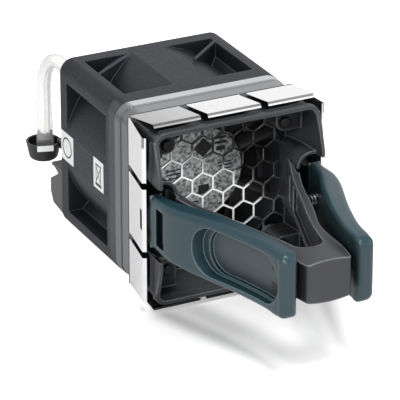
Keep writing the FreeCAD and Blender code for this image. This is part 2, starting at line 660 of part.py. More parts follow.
def honeycomb_grille():
    """Sheet-metal pan: a pierced plate with a rim folded back to the fan's face."""
    y_front = ahead(GRILLE_AT + GRILLE_THICKNESS)
    y_back = ahead(GRILLE_AT)
    pan = rounded_block(GRILLE_HALF, GRILLE_HALF, TUNNEL_RADIUS, y_front, FRONT_FACE)
    inside = GRILLE_HALF - GRILLE_RIM
    pan = pan.cut(rounded_block(inside, inside, TUNNEL_RADIUS - GRILLE_RIM, y_back, FRONT_FACE + 1))
    field = rounded_block(TUNNEL_HALF_X, TUNNEL_HALF_Z, TUNNEL_RADIUS, y_front - 1, y_back + 1)
    field = field.cut([rod_y(BOSS_RADIUS + 0.6, y_front - 2, y_back + 2, sx * BOSS_X, sz * BOSS_Z)
                       for sx in (-1, 1) for sz in (-1, 1)])
    row_pitch = HEX_PITCH * math.sqrt(3) / 2
    rows = int(TUNNEL_HALF_Z / row_pitch) + 1
    columns = int(TUNNEL_HALF_X / HEX_PITCH) + 2
    cells = []
    for row in range(-rows, rows + 1):
        shift = HEX_PITCH / 2 if row % 2 == 0 else 0.0
        for column in range(-columns, columns + 1):
            cell = prism(hexagon(column * HEX_PITCH + shift, row * row_pitch + HEX_ROW_OFFSET, y_front - 1),
                         Vector(0, GRILLE_THICKNESS + 2, 0)).common(field)
            if cell.Volume > 25.0:
                cells.append(cell)
    pan = pan.cut(cells)
    holes = [rod_y(SCREW_RADIUS, y_front - 1, FRONT_FACE + 1, sx * BOSS_X, sz * BOSS_Z)
             for sx in (-1, 1) for sz in (-1, 1)]
    return pan.cut(holes)


# ---------------------------------------------------------------- handle
# How far the arms' faces lie inside the bezel's side, and the distance ahead, from the tip back.
OUTSIDE_STATIONS = [(HANDLE_TIP_INSET, 136.0), (31.5, 112.0), (30.4, 100.0), (26.2, 88.0), (17.7, 61.0),
                    (11.9, 45.0)]
INSIDE_STATIONS = [(37.6, 115.0), (31.4, 91.0), (25.8, 74.0), (16.6, 46.0)]
ARM_OUTSIDE = [(BEZEL_HALF - inset, distance) for inset, distance in OUTSIDE_STATIONS]
ARM_INSIDE = [(BEZEL_HALF - inset, distance) for inset, distance in INSIDE_STATIONS]
ARM_SLOPE_BACK = 2.76        # how far back an arm's root runs for each millimetre sideways
OPENING_END = 122.0


def place(x, distance, z):
    return Vector(x, ahead(distance), z)


def spline_edge(points, z):
    curve = Part.BSplineCurve()
    curve.interpolate([place(x, d, z) for x, d in points])
    return curve.toShape()


def line_edge(a, b, z):
    return Part.LineSegment(place(a[0], a[1], z), place(b[0], b[1], z)).toShape()


def root_end(start, wall):
    """Where an arm's straight root, drawn on from this point, meets the channel's wall."""
    x, distance = start
    return wall, distance - (wall - x) * ARM_SLOPE_BACK


def handle_plan(z):
    """Outline of the V seen from above, as a face at height z. Its roots run into the channels."""
    wall = CHANNEL_X
    root_out = root_end(ARM_OUTSIDE[-1], wall)
    root_in = root_end(ARM_INSIDE[-1], wall)
    half = [spline_edge(ARM_OUTSIDE, z), line_edge(ARM_OUTSIDE[-1], root_out, z),
            line_edge(root_out, root_in, z), line_edge(root_in, ARM_INSIDE[-1], z),
            spline_edge(ARM_INSIDE[::-1], z)]
    c = HANDLE_CORNER
    bulge = c * (1 - math.sqrt(0.5))
    half.append(Part.Arc(place(HANDLE_TIP_HALF - c, HANDLE_TIP_AT, z),
                         place(HANDLE_TIP_HALF - bulge, HANDLE_TIP_AT - bulge, z),
                         place(HANDLE_TIP_HALF, HANDLE_TIP_AT - c, z)).toShape())
    other = [edge.mirror(ORIGIN, X_AXIS) for edge in half]
    front = line_edge((-HANDLE_TIP_HALF + c, HANDLE_TIP_AT), (HANDLE_TIP_HALF - c, HANDLE_TIP_AT), z)
    x_in, d_in = ARM_INSIDE[0]
    inner = Part.Arc(place(-x_in, d_in, z), place(0, OPENING_END, z), place(x_in, d_in, z)).toShape()
    return Part.Face(Part.Wire(Part.__sortEdges__(half + other + [front, inner])))


def handle_side():
    """Side view of an arm: a little taller at its root, then low all the way to the tip."""
    h = HANDLE_HALF_HEIGHT
    tall = ROOT_HALF_HEIGHT
    x = -FAN_HALF
    y_tip = ahead(HANDLE_TIP_AT + 1)
    y_root = ahead(CHANNEL_START)
    y_low = ahead(ROOT_LOW_FROM)
    y_tall = ahead(ROOT_TALL_TO)
    y_mid = y_tall * 0.62 + y_low * 0.38
    z_mid = tall * 0.25 + h * 0.75
    upper = [Part.LineSegment(Vector(x, y_tip, h), Vector(x, y_low, h)).toShape(),
             Part.Arc(Vector(x, y_low, h), Vector(x, y_mid, z_mid), Vector(x, y_tall, tall)).toShape(),
             Part.LineSegment(Vector(x, y_tall, tall), Vector(x, y_root, tall)).toShape()]
    lower = [edge.mirror(ORIGIN, Z_AXIS) for edge in upper]
    ends = [Part.LineSegment(Vector(x, y, -z), Vector(x, y, z)).toShape()
            for y, z in ((y_tip, h), (y_root, tall))]
    face = Part.Face(Part.Wire(Part.__sortEdges__(upper + lower + ends)))
    return face.extrude(Vector(FAN_SIZE, 0, 0))


def arm_inner_x(distance):
    """Half width of the V's opening at this distance ahead."""
    points = [root_end(ARM_INSIDE[-1], CHANNEL_X - SKIN)] + ARM_INSIDE[::-1]
    for (x0, d0), (x1, d1) in zip(points, points[1:]):
        if distance <= d1:
            break
    return x0 + (x1 - x0) * (distance - d0) / (d1 - d0)


def arm_pocket(near, far):
    """Space hollowed into the inner face of the right arm, between two distances ahead."""
    steps = 8
    stations = [near + (far - near) * i / steps for i in range(steps + 1)]
    floor = [place(arm_inner_x(d) + ARM_POCKET_DEPTH, d, -ARM_POCKET_HALF) for d in stations]
    mouth = [place(arm_inner_x(d) - ARM_POCKET_DEPTH, d, -ARM_POCKET_HALF) for d in (far, near)]
    pocket = prism(floor + mouth, Vector(0, 0, 2 * ARM_POCKET_HALF))
    across = [e for e in pocket.Edges if e.BoundBox.ZLength < 1e-6
              and e.BoundBox.YLength < ARM_POCKET_DEPTH]
    return pocket.makeFillet(HANDLE_EDGE, across)


def handle():
    """V-shaped handle: two arms that meet in a square tip and seat on the channels' walls."""
    tall = ROOT_HALF_HEIGHT
    casing = channel(SKIN, GRILLE_AT, LIP_AT)
    body = handle_plan(-tall).extrude(Vector(0, 0, 2 * tall)).common(handle_side())
    body = body.cut([casing, mirrored_x(casing)])
    crown = HANDLE_CROWN
    radius = (HANDLE_TIP_HALF ** 2 + crown ** 2) / (2 * crown)
    top = HANDLE_HALF_HEIGHT + crown
    y_tip = ahead(HANDLE_TIP_AT)
    y_crown = ahead(HANDLE_TIP_AT - CROWN_LENGTH)
    cap = rod_y(radius, y_tip, y_crown, 0, top - radius)
    cap = cap.common(box(-FAN_HALF, FAN_HALF, y_tip, y_crown, HANDLE_HALF_HEIGHT - 1, top + 1))
    cap = cap.common(handle_plan(HANDLE_HALF_HEIGHT - 1).extrude(Vector(0, 0, crown + 2)))
    body = body.fuse([cap, mirrored_z(cap)]).removeSplitter()
    pockets = [arm_pocket(near, far) for near, far in ARM_POCKETS]
    body = body.cut(pockets + [mirrored_x(pocket) for pocket in pockets])
    for side in (-1, 1):
        boss = rod_x(SPRING_RADIUS + 0.5, SPRING_IN - 3.3, SPRING_IN, ahead(SPRING_AT), 0)
        nib_radius = SPRING_RADIUS - 2 * SPRING_WIRE - 0.3
        nib = rod_x(nib_radius, SPRING_IN - 0.5, SPRING_IN + 1.6, ahead(SPRING_AT), 0)
        seat = boss.fuse(nib)
        body = body.fuse(seat if side > 0 else mirrored_x(seat))
    return body.removeSplitter()


# ---------------------------------------------------------------- latch levers
# Distance ahead, how far the inner and the outer face lie inside the bezel's side, half height.
LEVER_STATIONS = [(42.0, 5.1, -1.1, 14.0), (46.0, 5.1, -1.2, 14.2), (51.0, 6.0, -1.2, 14.4),
                  (57.0, 7.8, -1.1, 14.7), (64.0, 10.9, 0.3, 15.1), (71.0, 14.0, 2.5, 15.5),
                  (79.0, 17.0, 5.6, 15.9), (88.0, 20.1, 9.2, 16.3), (97.0, 23.1, 12.5, 16.5),
                  (106.0, 25.5, 15.4, 16.7), (115.0, 27.6, 18.0, 16.9), (124.0, 29.0, 19.7, 17.0),
                  (132.5, 29.7, 20.8, 17.0)]
LEVER_TIP_AT = 138.0
LEVER_TIP_STEPS = (4.6, 3.7, 2.9, 2.1, 1.4, 0.8, 0.4, 0.1)     # the round tip's sections, back from its end
LEVER_TIP_CORNER = 5.5       # seen from the side
LEVER_TIP_NOSE = 4.0         # seen from above
LEVER_OUTER_EDGE = 3.4
LEVER_INNER_EDGE = 1.8
LEVER_LOW_TO = 38.0          # low part, inside the bezel
LEVER_SLOTS = [(-8.8, -2.8), (2.2, 5.0)]         # through the recess's floor, at its front end
LEVER_SLOT_AT = 126.5
LEVER_SLOT_WIDTH = 1.8


def round_inset(radius, back):
    """How far a rounding lies inside its corner at this distance back from the end."""
    if back >= radius:
        return 0.0
    return radius - math.sqrt(radius ** 2 - (radius - back) ** 2)


def lever_section(distance, x_in, x_out, half, inner_edge, outer_edge):
    """Cross-section of the right lever, with larger roundings on its outside."""
    y = ahead(distance)
    edges = []
    last = None
    corners = [(x_out, half, 1, 1, outer_edge), (x_in, half, -1, 1, inner_edge),
               (x_in, -half, -1, -1, inner_edge), (x_out, -half, 1, -1, outer_edge)]
    for index, (x, z, sx, sz, radius) in enumerate(corners):
        bulge = radius * (1 - math.sqrt(0.5))
        beside = Vector(x, y, z - sz * radius)
        above = Vector(x - sx * radius, y, z)
        start, end = (beside, above) if index % 2 == 0 else (above, beside)
        if last:
            edges.append(Part.LineSegment(last, start).toShape())
        edges.append(Part.Arc(start, Vector(x - sx * bulge, y, z - sz * bulge), end).toShape())
        last = end
    edges.append(Part.LineSegment(last, edges[0].Vertexes[0].Point).toShape())
    return Part.Wire(edges)


def lever_body():
    """The part of the lever that shows: a smooth loft through its stations, and a round tip."""
    sections = []
    for distance, inset_in, inset_out, half in LEVER_STATIONS:
        sections.append(lever_section(distance, BEZEL_HALF - inset_in, BEZEL_HALF - inset_out, half,
                                      LEVER_INNER_EDGE, LEVER_OUTER_EDGE))
    body = Part.makeLoft(sections, True)
    inset_in, inset_out, half = LEVER_STATIONS[-1][1:]
    tip = [sections[-1]]
    for back in LEVER_TIP_STEPS:
        nose = round_inset(LEVER_TIP_NOSE, back)
        x_in = BEZEL_HALF - inset_in + nose
        x_out = BEZEL_HALF - inset_out - nose
        widest = (x_out - x_in) / 2 - 0.1
        tip.append(lever_section(LEVER_TIP_AT - back, x_in, x_out,
                                 half - round_inset(LEVER_TIP_CORNER, back),
                                 min(LEVER_INNER_EDGE, widest), min(LEVER_OUTER_EDGE, widest)))
    return body.fuse(Part.makeLoft(tip, True, True))


def lever_rear():
    """Low part inside the bezel, with the round boss for its pin."""
    first, inset_in, inset_out, half = LEVER_STATIONS[0]
    boss_in = PIVOT_X - LEVER_BOSS_RADIUS
    boss_out = PIVOT_X + LEVER_BOSS_RADIUS
    end_out = (BEZEL_HALF - inset_out, first)
    end_in = (BEZEL_HALF - inset_in, first)
    back = Part.Arc(place(boss_in, PIVOT_AT, -half), place(PIVOT_X, PIVOT_AT - LEVER_BOSS_RADIUS, -half),
                    place(boss_out, PIVOT_AT, -half)).toShape()
    plan = Part.Wire([back, line_edge((boss_out, PIVOT_AT), end_out, -half),
                      line_edge(end_out, end_in, -half), line_edge(end_in, (boss_in, PIVOT_AT), -half)])
    body = Part.Face(plan).extrude(Vector(0, 0, 2 * half))
    low = LEVER_BOSS_HALF
    start = PIVOT_AT - LEVER_BOSS_RADIUS - 1
    upper = [(start, low), (LEVER_LOW_TO, low), (first, half)]
    side = [place(0, d, z) for d, z in upper] + [place(0, d, -z) for d, z in upper[::-1]]
    return body.common(prism(side, Vector(FAN_SIZE, 0, 0)))


def stadium_x(d0, d1, low, high, radius, x0, x1):
    """Rounded rectangle in side view, swept across from x0 to x1."""
    block = box(x0, x1, ahead(d1), ahead(d0), low, high)
    edges = [e for e in block.Edges if abs(e.BoundBox.XLength - (x1 - x0)) < 1e-3]
    return block.makeFillet(radius, edges)


def recess_region(floor):
    """All that lies outside a surface that follows the lever's inner face at this thickness."""
    z = -FAN_HALF
    inner = [(BEZEL_HALF - station[1] + floor, station[0]) for station in LEVER_STATIONS[3:]]
    first = inner[0]
    last = (inner[-1][0], LEVER_TIP_AT)
    far = (FAN_SIZE, last[1])
    near = (FAN_SIZE, first[1])
    edges = [spline_edge(inner, z), line_edge(inner[-1], last, z), line_edge(last, far, z),
             line_edge(far, near, z), line_edge(near, first, z)]
    face = Part.Face(Part.Wire(edges))
    return face.extrude(Vector(0, 0, FAN_SIZE))


def lever_recess():
    """Finger recess: a wide upper step and a deeper floor, with two slots at its front end."""
    near, far, half = LEVER_RECESS
    inside = BEZEL_HALF - LEVER_STATIONS[-1][1]
    wide = stadium_x(near, far, -half, half, half - 1.0, inside, FAN_SIZE)
    wide = wide.common(recess_region(LEVER_FLOOR + 2.2))
    half -= 1.2
    deep = stadium_x(near + 4.0, far - 1.2, -half, half, half - 1.2, inside, FAN_SIZE)
    deep = deep.common(recess_region(LEVER_FLOOR))
    slots = [stadium_x(LEVER_SLOT_AT, LEVER_SLOT_AT + LEVER_SLOT_WIDTH, low, high, 0.6, 0, inside + 6)
             for low, high in LEVER_SLOTS]
    return [wide, deep] + slots


def hook():
    """Ramped catch on the lever's outside."""
    reach = HOOK_OUT
    base = BEZEL_HALF - LEVER_STATIONS[0][2] - 2.8
    points = [place(base, HOOK_AT - 2.4, -HOOK_HALF), place(reach, HOOK_AT - 0.8, -HOOK_HALF),
              place(reach, HOOK_AT + 0.4, -HOOK_HALF), place(base + 1.6, HOOK_AT + 1.8, -HOOK_HALF),
              place(base, HOOK_AT + 1.8, -HOOK_HALF)]
    return prism(points, Vector(0, 0, 2 * HOOK_HALF))


def lever_right():
    near, far, half = LEVER_WINDOW
    cuts = [stadium_x(near, far, -half, half, 0.6, SPRING_OUT + 2.0, FAN_SIZE),
            rod_x(SPRING_RADIUS + 0.7, SPRING_IN, SPRING_OUT, ahead(SPRING_AT), 0)]
    body = lever_body().fuse(lever_rear()).cut(lever_recess() + cuts).fuse(hook())
    pin = rod_z(PIN_RADIUS + RUNNING_GAP, PIVOT_X, ahead(PIVOT_AT), -PIN_HALF, PIN_HALF)
    return body.cut(pin).removeSplitter()


def latch_pin():
    return rod_z(PIN_RADIUS, PIVOT_X, ahead(PIVOT_AT), -PIN_HALF, PIN_HALF)


def latch_spring():
    """Compression spring between the handle's arm and the lever."""
    length = SPRING_OUT - SPRING_IN - 2 * SPRING_WIRE
    helix = Part.makeHelix(length / SPRING_TURNS, length, SPRING_RADIUS)
    section = Part.Wire(Part.makeCircle(SPRING_WIRE, Vector(SPRING_RADIUS, 0, 0), Y_AXIS))
    coil = Part.Wire(helix).makePipeShell([section], True, True)
    coil.rotate(ORIGIN, Y_AXIS, 90)
    coil.translate(Vector(SPRING_IN + SPRING_WIRE, ahead(SPRING_AT), 0))
    return coil


# ---------------------------------------------------------------- lead, connector and rear bracket
def lead_path(offset_x, offset_out, end_z):
    """The lead's line: straight out of the frame, one large bend, straight down."""
    x = LEAD_X + offset_x
    z = LEAD_Z + offset_out
    radius = LEAD_BEND + offset_out
    y_bend = LEAD_DROP_AT - LEAD_BEND
    mid = radius * math.sqrt(0.5)
    centre_z = LEAD_Z - LEAD_BEND
    start = Vector(x, LEAD_START, z)
    turn = Vector(x, y_bend, z)
    middle = Vector(x, y_bend + mid, centre_z + mid)
    drop = Vector(x, y_bend + radius, centre_z)
    end = Vector(x, y_bend + radius, end_z)
    return Part.Wire([Part.LineSegment(start, turn).toShape(), Part.Arc(turn, middle, drop).toShape(),
                      Part.LineSegment(drop, end).toShape()])


def swept(path, radius):
    start = path.Vertexes[0].Point
    section = Part.Wire(Part.makeCircle(radius, start, Y_AXIS))
    return path.makePipeShell([section], True, True)


def lead_foot(top_radius, foot_radius):
    """Straight drop of the sleeve, wider at its foot."""
    top = LEAD_Z - LEAD_BEND
    base = Vector(LEAD_X, LEAD_DROP_AT, CUP_FLOOR_Z)
    return Part.makeCone(foot_radius, top_radius, top - CUP_FLOOR_Z, base, Z_AXIS)


def lead_sleeve():
    bend = lead_path(0, 0, LEAD_Z - LEAD_BEND - 0.01)
    outside = swept(bend, LEAD_RADIUS).fuse(lead_foot(LEAD_RADIUS, LEAD_FOOT_RADIUS))
    bore = LEAD_RADIUS - LEAD_WALL
    inside = swept(bend, bore).fuse(lead_foot(bore, LEAD_FOOT_RADIUS - LEAD_WALL))
    return outside.cut(inside)


def lead_wires():
    """Seven wires, one in the middle and six round it."""
    spread = 2 * WIRE_RADIUS + 0.15
    places = [(0.0, 0.0)]
    for i in range(6):
        angle = math.radians(60 * i)
        places.append((spread * math.cos(angle), spread * math.sin(angle)))
    return Part.makeCompound([swept(lead_path(dx, out, WIRE_END_Z), WIRE_RADIUS) for dx, out in places])


def lead_boot():
    """Plug boot that the wires end in, inside the sleeve's foot."""
    radius = LEAD_FOOT_RADIUS - LEAD_WALL - 2 * RUNNING_GAP
    base = Vector(LEAD_X, LEAD_DROP_AT, CUP_FLOOR_Z)
    return Part.makeCone(radius, radius - 0.3, WIRE_END_Z - CUP_FLOOR_Z, base, Z_AXIS)


def insert_space(grow):
    """Room of the white insert, seen from the plug's own axis and then turned to its side."""
    face = -CUP_RADIUS + 0.2
    low, high = INSERT_Z
    space = box(-INSERT_HALF, INSERT_HALF, face - grow, face + INSERT_DEPTH, low, high + grow)
    space.rotate(ORIGIN, Z_AXIS, INSERT_TURN)
    space.translate(Vector(CUP_X, LEAD_DROP_AT, 0))
    return space


def connector_housing():
    """Round plug body under the sleeve, with the arm that ties it to the fan."""
    base = Vector(CUP_X, LEAD_DROP_AT, CUP_BOTTOM_Z)
    cup = Part.makeCone(CUP_FOOT_RADIUS, CUP_RADIUS, CUP_TOP_Z - CUP_BOTTOM_Z, base, Z_AXIS)
    low = [e for e in cup.Edges if e.BoundBox.ZMax < CUP_BOTTOM_Z + 1e-3]
    cup = cup.makeFillet(CUP_EDGE, low)
    arm = box(ARM_X - ARM_HALF, ARM_X + ARM_HALF, BRACKET_THICKNESS, LEAD_DROP_AT - CUP_RADIUS / 2, *ARM_Z)
    hollow = rod_z(CUP_RADIUS - CUP_WALL, CUP_X, LEAD_DROP_AT, CUP_FLOOR_Z, CUP_TOP_Z + 5)
    rear = LEAD_DROP_AT + CUP_RADIUS
    socket = box(CUP_X - SOCKET_HALF, CUP_X + SOCKET_HALF, rear - SOCKET_DEPTH, rear + 1, *SOCKET_Z)
    return cup.fuse(arm).cut([hollow, socket, insert_space(1)]).removeSplitter()


def connector_contacts():
    y1 = LEAD_DROP_AT + CUP_FOOT_RADIUS - 0.8
    y0 = LEAD_DROP_AT + CUP_RADIUS - SOCKET_DEPTH
    z = (SOCKET_Z[0] + SOCKET_Z[1]) / 2
    step = 2 * (SOCKET_HALF - 1.0) / (CONTACT_COUNT - 1)
    pins = []
    for i in range(CONTACT_COUNT):
        x = CUP_X - SOCKET_HALF + 1.0 + i * step
        pins.append(box(x - CONTACT_HALF, x + CONTACT_HALF, y0, y1, z - CONTACT_HALF, z + CONTACT_HALF))
    return Part.makeCompound(pins)


def rear_bracket():
    """Bent plate at the lower left of the rear face: a foot, a side wing and a shelf for the arm."""
    x0 = BRACKET_X
    x1 = x0 + BRACKET_THICKNESS
    top = ARM_Z[0]
    points = [(0.0, BRACKET_BOTTOM), (8.0, BRACKET_BOTTOM + 1), (18.3, -41.6), (BRACKET_REACH, -36.0),
              (BRACKET_REACH, -28.9), (11.5, top - 3.6), (BRACKET_SHELF, top), (0.0, top)]
    wing = prism([Vector(x0, y, z) for y, z in points], Vector(BRACKET_THICKNESS, 0, 0))
    foot = box(x0, BRACKET_INNER, 0, BRACKET_THICKNESS, BRACKET_BOTTOM, top)
    foot = foot.cut(rod_y(DUCT_RADIUS + 0.6, -1, BRACKET_THICKNESS + 1))
    shelf = box(x0, ARM_X + ARM_HALF, 0, BRACKET_SHELF, top - BRACKET_THICKNESS, top)
    body = wing.fuse([foot, shelf])
    holes = [rod_y(HOLE_RADIUS, -1, BRACKET_THICKNESS + 1, -HOLE_AT, -HOLE_AT)]
    holes += [rod_y(BRACKET_SCREW_RADIUS, -1, BRACKET_THICKNESS + 1, x, z) for x, z in BRACKET_SCREWS]
    return body.cut(holes).removeSplitter()


def bracket_screws():
    screws = []
    for x, z in BRACKET_SCREWS:
        shank = rod_y(BRACKET_SCREW_RADIUS, -REAR_FLANGE + 1.5, BRACKET_THICKNESS, x, z)
        head = rod_y(2 * BRACKET_SCREW_RADIUS, BRACKET_THICKNESS, BRACKET_THICKNESS + 1.4, x, z)
        cross = rod_y(0.6 * BRACKET_SCREW_RADIUS, BRACKET_THICKNESS + 0.7, BRACKET_THICKNESS + 2, x, z)
        screws.append(shank.fuse(head).cut(cross))
    return Part.makeCompound(screws)


def side_labels():
    """Two thin stickers on the flat band of the left side."""
    x = -FAN_HALF - LABEL_THICKNESS
    rear = box(x, -FAN_HALF, *REAR_LABEL[0], *REAR_LABEL[1])
    y0, y1 = FRONT_LABEL[0]
    front = box(x, -FAN_HALF, FRONT_FACE + y0, FRONT_FACE + y1, *FRONT_LABEL[1])
    return rear, front


def keep(shape):
    return shape


def main():
    os.makedirs("parts", exist_ok=True)
    write("fan_frame", fan_frame())
    halves = [("front", FRONT_BLADE_COUNT, keep), ("rear", REAR_BLADE_COUNT, mirrored_fan)]
    for end, blades, mapped in halves:
        write(end + "_stator", mapped(stator()))
        write(end + "_impeller", mapped(impeller(blades)))
        write(end + "_shaft", mapped(shaft()))
        write(end + "_magnet_ring", mapped(magnet_ring()))
        write(end + "_bearings", mapped(bearings()))
        write(end + "_coils", mapped(coils()))
        write(end + "_driver_board", mapped(driver_board()))
    write("hub_label", hub_label())
    label_rear, label_front = side_labels()
    write("side_label_rear", label_rear)
    write("side_label_front", label_front)
    write("collar", collar())
    top_row = strip_row(STRIP_ENDS_TOP, False)
    side_row = strip_row(STRIP_ENDS_SIDE, True)
    write("gasket_top", top_row)
    write("gasket_bottom", turned(top_row, 180))
    write("gasket_left", turned(side_row, -90))
    write("gasket_right", turned(side_row, 90))
    write("bezel", bezel())
    write("bezel_screws", bezel_screws())
    write("honeycomb_grille", honeycomb_grille())
    write("handle", handle())
    write("latch_lever_left", mirrored_x(lever_right()))
    write("latch_lever_right", lever_right())
    write("latch_pin_left", mirrored_x(latch_pin()))
    write("latch_pin_right", latch_pin())
    write("latch_spring_left", mirrored_x(latch_spring()))
    write("latch_spring_right", latch_spring())
    write("lead_sleeve", lead_sleeve())
    write("lead_wires", lead_wires())
    write("lead_boot", lead_boot())
    write("connector_housing", connector_housing())
    write("connector_insert", insert_space(0))
    write("connector_contacts", connector_contacts())
    write("rear_bracket", rear_bracket())
    write("bracket_screws", bracket_screws())


main()
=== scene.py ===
import json
import math

import bmesh
import bpy
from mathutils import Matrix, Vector


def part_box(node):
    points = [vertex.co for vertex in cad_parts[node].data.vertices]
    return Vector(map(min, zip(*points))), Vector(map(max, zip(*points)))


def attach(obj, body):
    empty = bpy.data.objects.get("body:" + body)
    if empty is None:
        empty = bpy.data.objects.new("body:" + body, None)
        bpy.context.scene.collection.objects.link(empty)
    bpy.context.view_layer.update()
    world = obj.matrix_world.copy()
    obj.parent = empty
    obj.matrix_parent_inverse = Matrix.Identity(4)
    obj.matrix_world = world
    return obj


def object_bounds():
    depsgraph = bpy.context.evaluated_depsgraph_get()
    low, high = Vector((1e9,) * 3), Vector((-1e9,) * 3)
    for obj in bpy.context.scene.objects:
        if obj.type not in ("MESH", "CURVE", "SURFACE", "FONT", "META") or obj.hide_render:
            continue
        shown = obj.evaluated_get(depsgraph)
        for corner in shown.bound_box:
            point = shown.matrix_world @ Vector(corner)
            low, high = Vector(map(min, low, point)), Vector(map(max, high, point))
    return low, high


# Looks of a hot-swap server fan module. Metres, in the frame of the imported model:
# +X right, +Z up, -Y towards the pull handle, origin at the centre of the fan's rear face.

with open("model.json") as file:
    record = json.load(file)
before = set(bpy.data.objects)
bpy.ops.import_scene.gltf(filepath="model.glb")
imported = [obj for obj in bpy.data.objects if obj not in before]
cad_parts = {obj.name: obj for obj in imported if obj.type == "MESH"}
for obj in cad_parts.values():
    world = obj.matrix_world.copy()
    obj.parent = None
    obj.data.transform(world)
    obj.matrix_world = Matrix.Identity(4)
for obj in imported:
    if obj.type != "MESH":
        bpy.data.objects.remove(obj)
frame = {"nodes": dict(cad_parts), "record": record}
cad_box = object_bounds()
nodes = frame["nodes"]
MM = 0.001


# ---------------------------------------------------------------- shader maths
class Wire:
    """A shader socket. Sums and products on it add Math nodes."""

    def __init__(self, finish, socket):
        self.finish = finish
        self.socket = socket

    def math(self, operation, other, swapped=False):
        first, second = (other, self) if swapped else (self, other)
        return self.finish.node("ShaderNodeMath", {"operation": operation}, {0: first, 1: second})

    def __add__(self, other):
        return self.math("ADD", other)

    def __sub__(self, other):
        return self.math("SUBTRACT", other)

    def __rsub__(self, other):
        return self.math("SUBTRACT", other, True)

    def __mul__(self, other):
        return self.math("MULTIPLY", other)

    def __pow__(self, other):
        return self.math("POWER", other)

    def __lt__(self, other):
        return self.math("LESS_THAN", other)

    __radd__ = __add__
    __rmul__ = __mul__


class Finish:
    """A material under construction."""

    def __init__(self, name):
        self.material = bpy.data.materials.new(name)
        self.material.use_nodes = True
        self.tree = self.material.node_tree
        self.tree.nodes.clear()
        self.output = self.tree.nodes.new("ShaderNodeOutputMaterial")

    def node(self, kind, settings=None, inputs=None, output=0):
        """Adds one node: its settings first, then the values or links of its sockets."""
        made = self.tree.nodes.new(kind)
        for name, value in (settings or {}).items():
            if name == "stops":
                ramp = made.color_ramp
                while len(ramp.elements) < len(value):
                    ramp.elements.new(0.5)
                for element, (place, grey) in zip(ramp.elements, value):
                    element.position = place
                    element.color = (grey, grey, grey, 1)
            else:
                setattr(made, name, value)
        for name, value in (inputs or {}).items():
            self.join(value, made.inputs[name])
        return Wire(self, made.outputs[output])

    def join(self, value, socket):
        if isinstance(value, Wire):
            self.tree.links.new(value.socket, socket)
        else:
            socket.default_value = value

    def place(self, scale=(1, 1, 1)):
        """Object coordinates, stretched by scale."""
        coords = self.node("ShaderNodeTexCoord", output=3)
        if scale == (1, 1, 1):
            return coords
        return self.node("ShaderNodeMapping", None, {"Vector": coords, "Scale": scale})

    def noise(self, scale, detail=2.0, stretch=(1, 1, 1), roughness=0.5):
        return self.node("ShaderNodeTexNoise", None,
                         {"Vector": self.place(stretch), "Scale": scale, "Detail": detail,
                          "Roughness": roughness})

    def mix(self, factor, first, second):
        """Blend of two colours."""
        return self.node("ShaderNodeMix", {"data_type": "RGBA"}, {0: factor, 6: first, 7: second}, 2)

    def ramp(self, value, stops):
        return self.node("ShaderNodeValToRGB", {"stops": stops}, {"Fac": value})

    def rounded(self, radius):
        """Normal that looks as if every edge had this radius."""
        return self.node("ShaderNodeBevel", {"samples": 6}, {"Radius": radius})

    def edges(self, rounded):
        """Mask that is 1 on edges and 0 on flat faces."""
        true = self.node("ShaderNodeNewGeometry", output=3)
        facing = self.node("ShaderNodeVectorMath", {"operation": "DOT_PRODUCT"}, {0: rounded, 1: true}, 1)
        return self.ramp(1 - facing, [(0.01, 0.0), (0.12, 1.0)])

    def shelter(self, reach):
        """Mask that is 1 in the open and falls to 0 in nooks narrower than reach."""
        open_sky = self.node("ShaderNodeAmbientOcclusion", {"samples": 8}, {"Distance": reach}, 1)
        return self.ramp(open_sky, [(0.35, 0.0), (0.95, 1.0)])

    def facing(self, axis):
        """How far a face looks along one axis, from -1 to 1."""
        normal = self.node("ShaderNodeTexCoord", output=1)
        return self.node("ShaderNodeSeparateXYZ", None, {"Vector": normal}, "XYZ".index(axis))

    def upward(self):
        """Mask that is 1 on faces that look up."""
        return self.ramp(self.facing("Z"), [(0.05, 0.0), (0.55, 1.0)])

    def flank(self):
        """Mask that is 1 on faces that look up and lean to the left or the right."""
        lean = self.ramp(self.facing("X").math("ABSOLUTE", 0.0), [(0.10, 0.0), (0.22, 1.0)])
        return lean * self.ramp(self.facing("Z"), [(0.20, 0.0), (0.45, 1.0)])

    def inward(self, start, end, half):
        """Mask that is 1 on the walls of a side window between these lengths and this half height."""
        soft = 0.2 * MM
        wall = self.ramp(self.facing("X").math("ABSOLUTE", 0.0), [(0.55, 1.0), (0.85, 0.0)])
        span = self.along("Y", start, start + soft) * self.along("Y", end, end - soft)
        return wall * span * self.along("Z", -half - soft, -half) * self.along("Z", half + soft, half)

    def along(self, axis, start, end, low=0.0, high=1.0):
        """Ramp from low to high between two places on one axis, in metres."""
        place = self.node("ShaderNodeSeparateXYZ", None, {"Vector": self.place()}, "XYZ".index(axis))
        limits = {"Value": place, "From Min": start, "From Max": end, "To Min": low, "To Max": high}
        return self.node("ShaderNodeMapRange", None, limits)

    def bump(self, height, distance, normal=None):
        inputs = {"Height": height, "Distance": distance, "Strength": 1.0}
        if normal:
            inputs["Normal"] = normal
        return self.node("ShaderNodeBump", None, inputs)

    def surface(self, **sockets):
        names = {key.replace("_", " "): value for key, value in sockets.items()}
        shader = self.node("ShaderNodeBsdfPrincipled", None, names)
        self.tree.links.new(shader.socket, self.output.inputs["Surface"])
        return self.material


# ---------------------------------------------------------------- finishes
NEAR_BLACK = (0.003, 0.003, 0.0035, 1)


def shade(colour, factor):
    return tuple(min(1.0, channel * factor) for channel in colour[:3]) + (1.0,)


def dusty(colour, share):
    """The colour under a film of grey dust, at the same lightness."""
    grey = sum(colour[:3]) / 3
    return tuple(channel * (1 - share) + grey * share for channel in colour[:3])


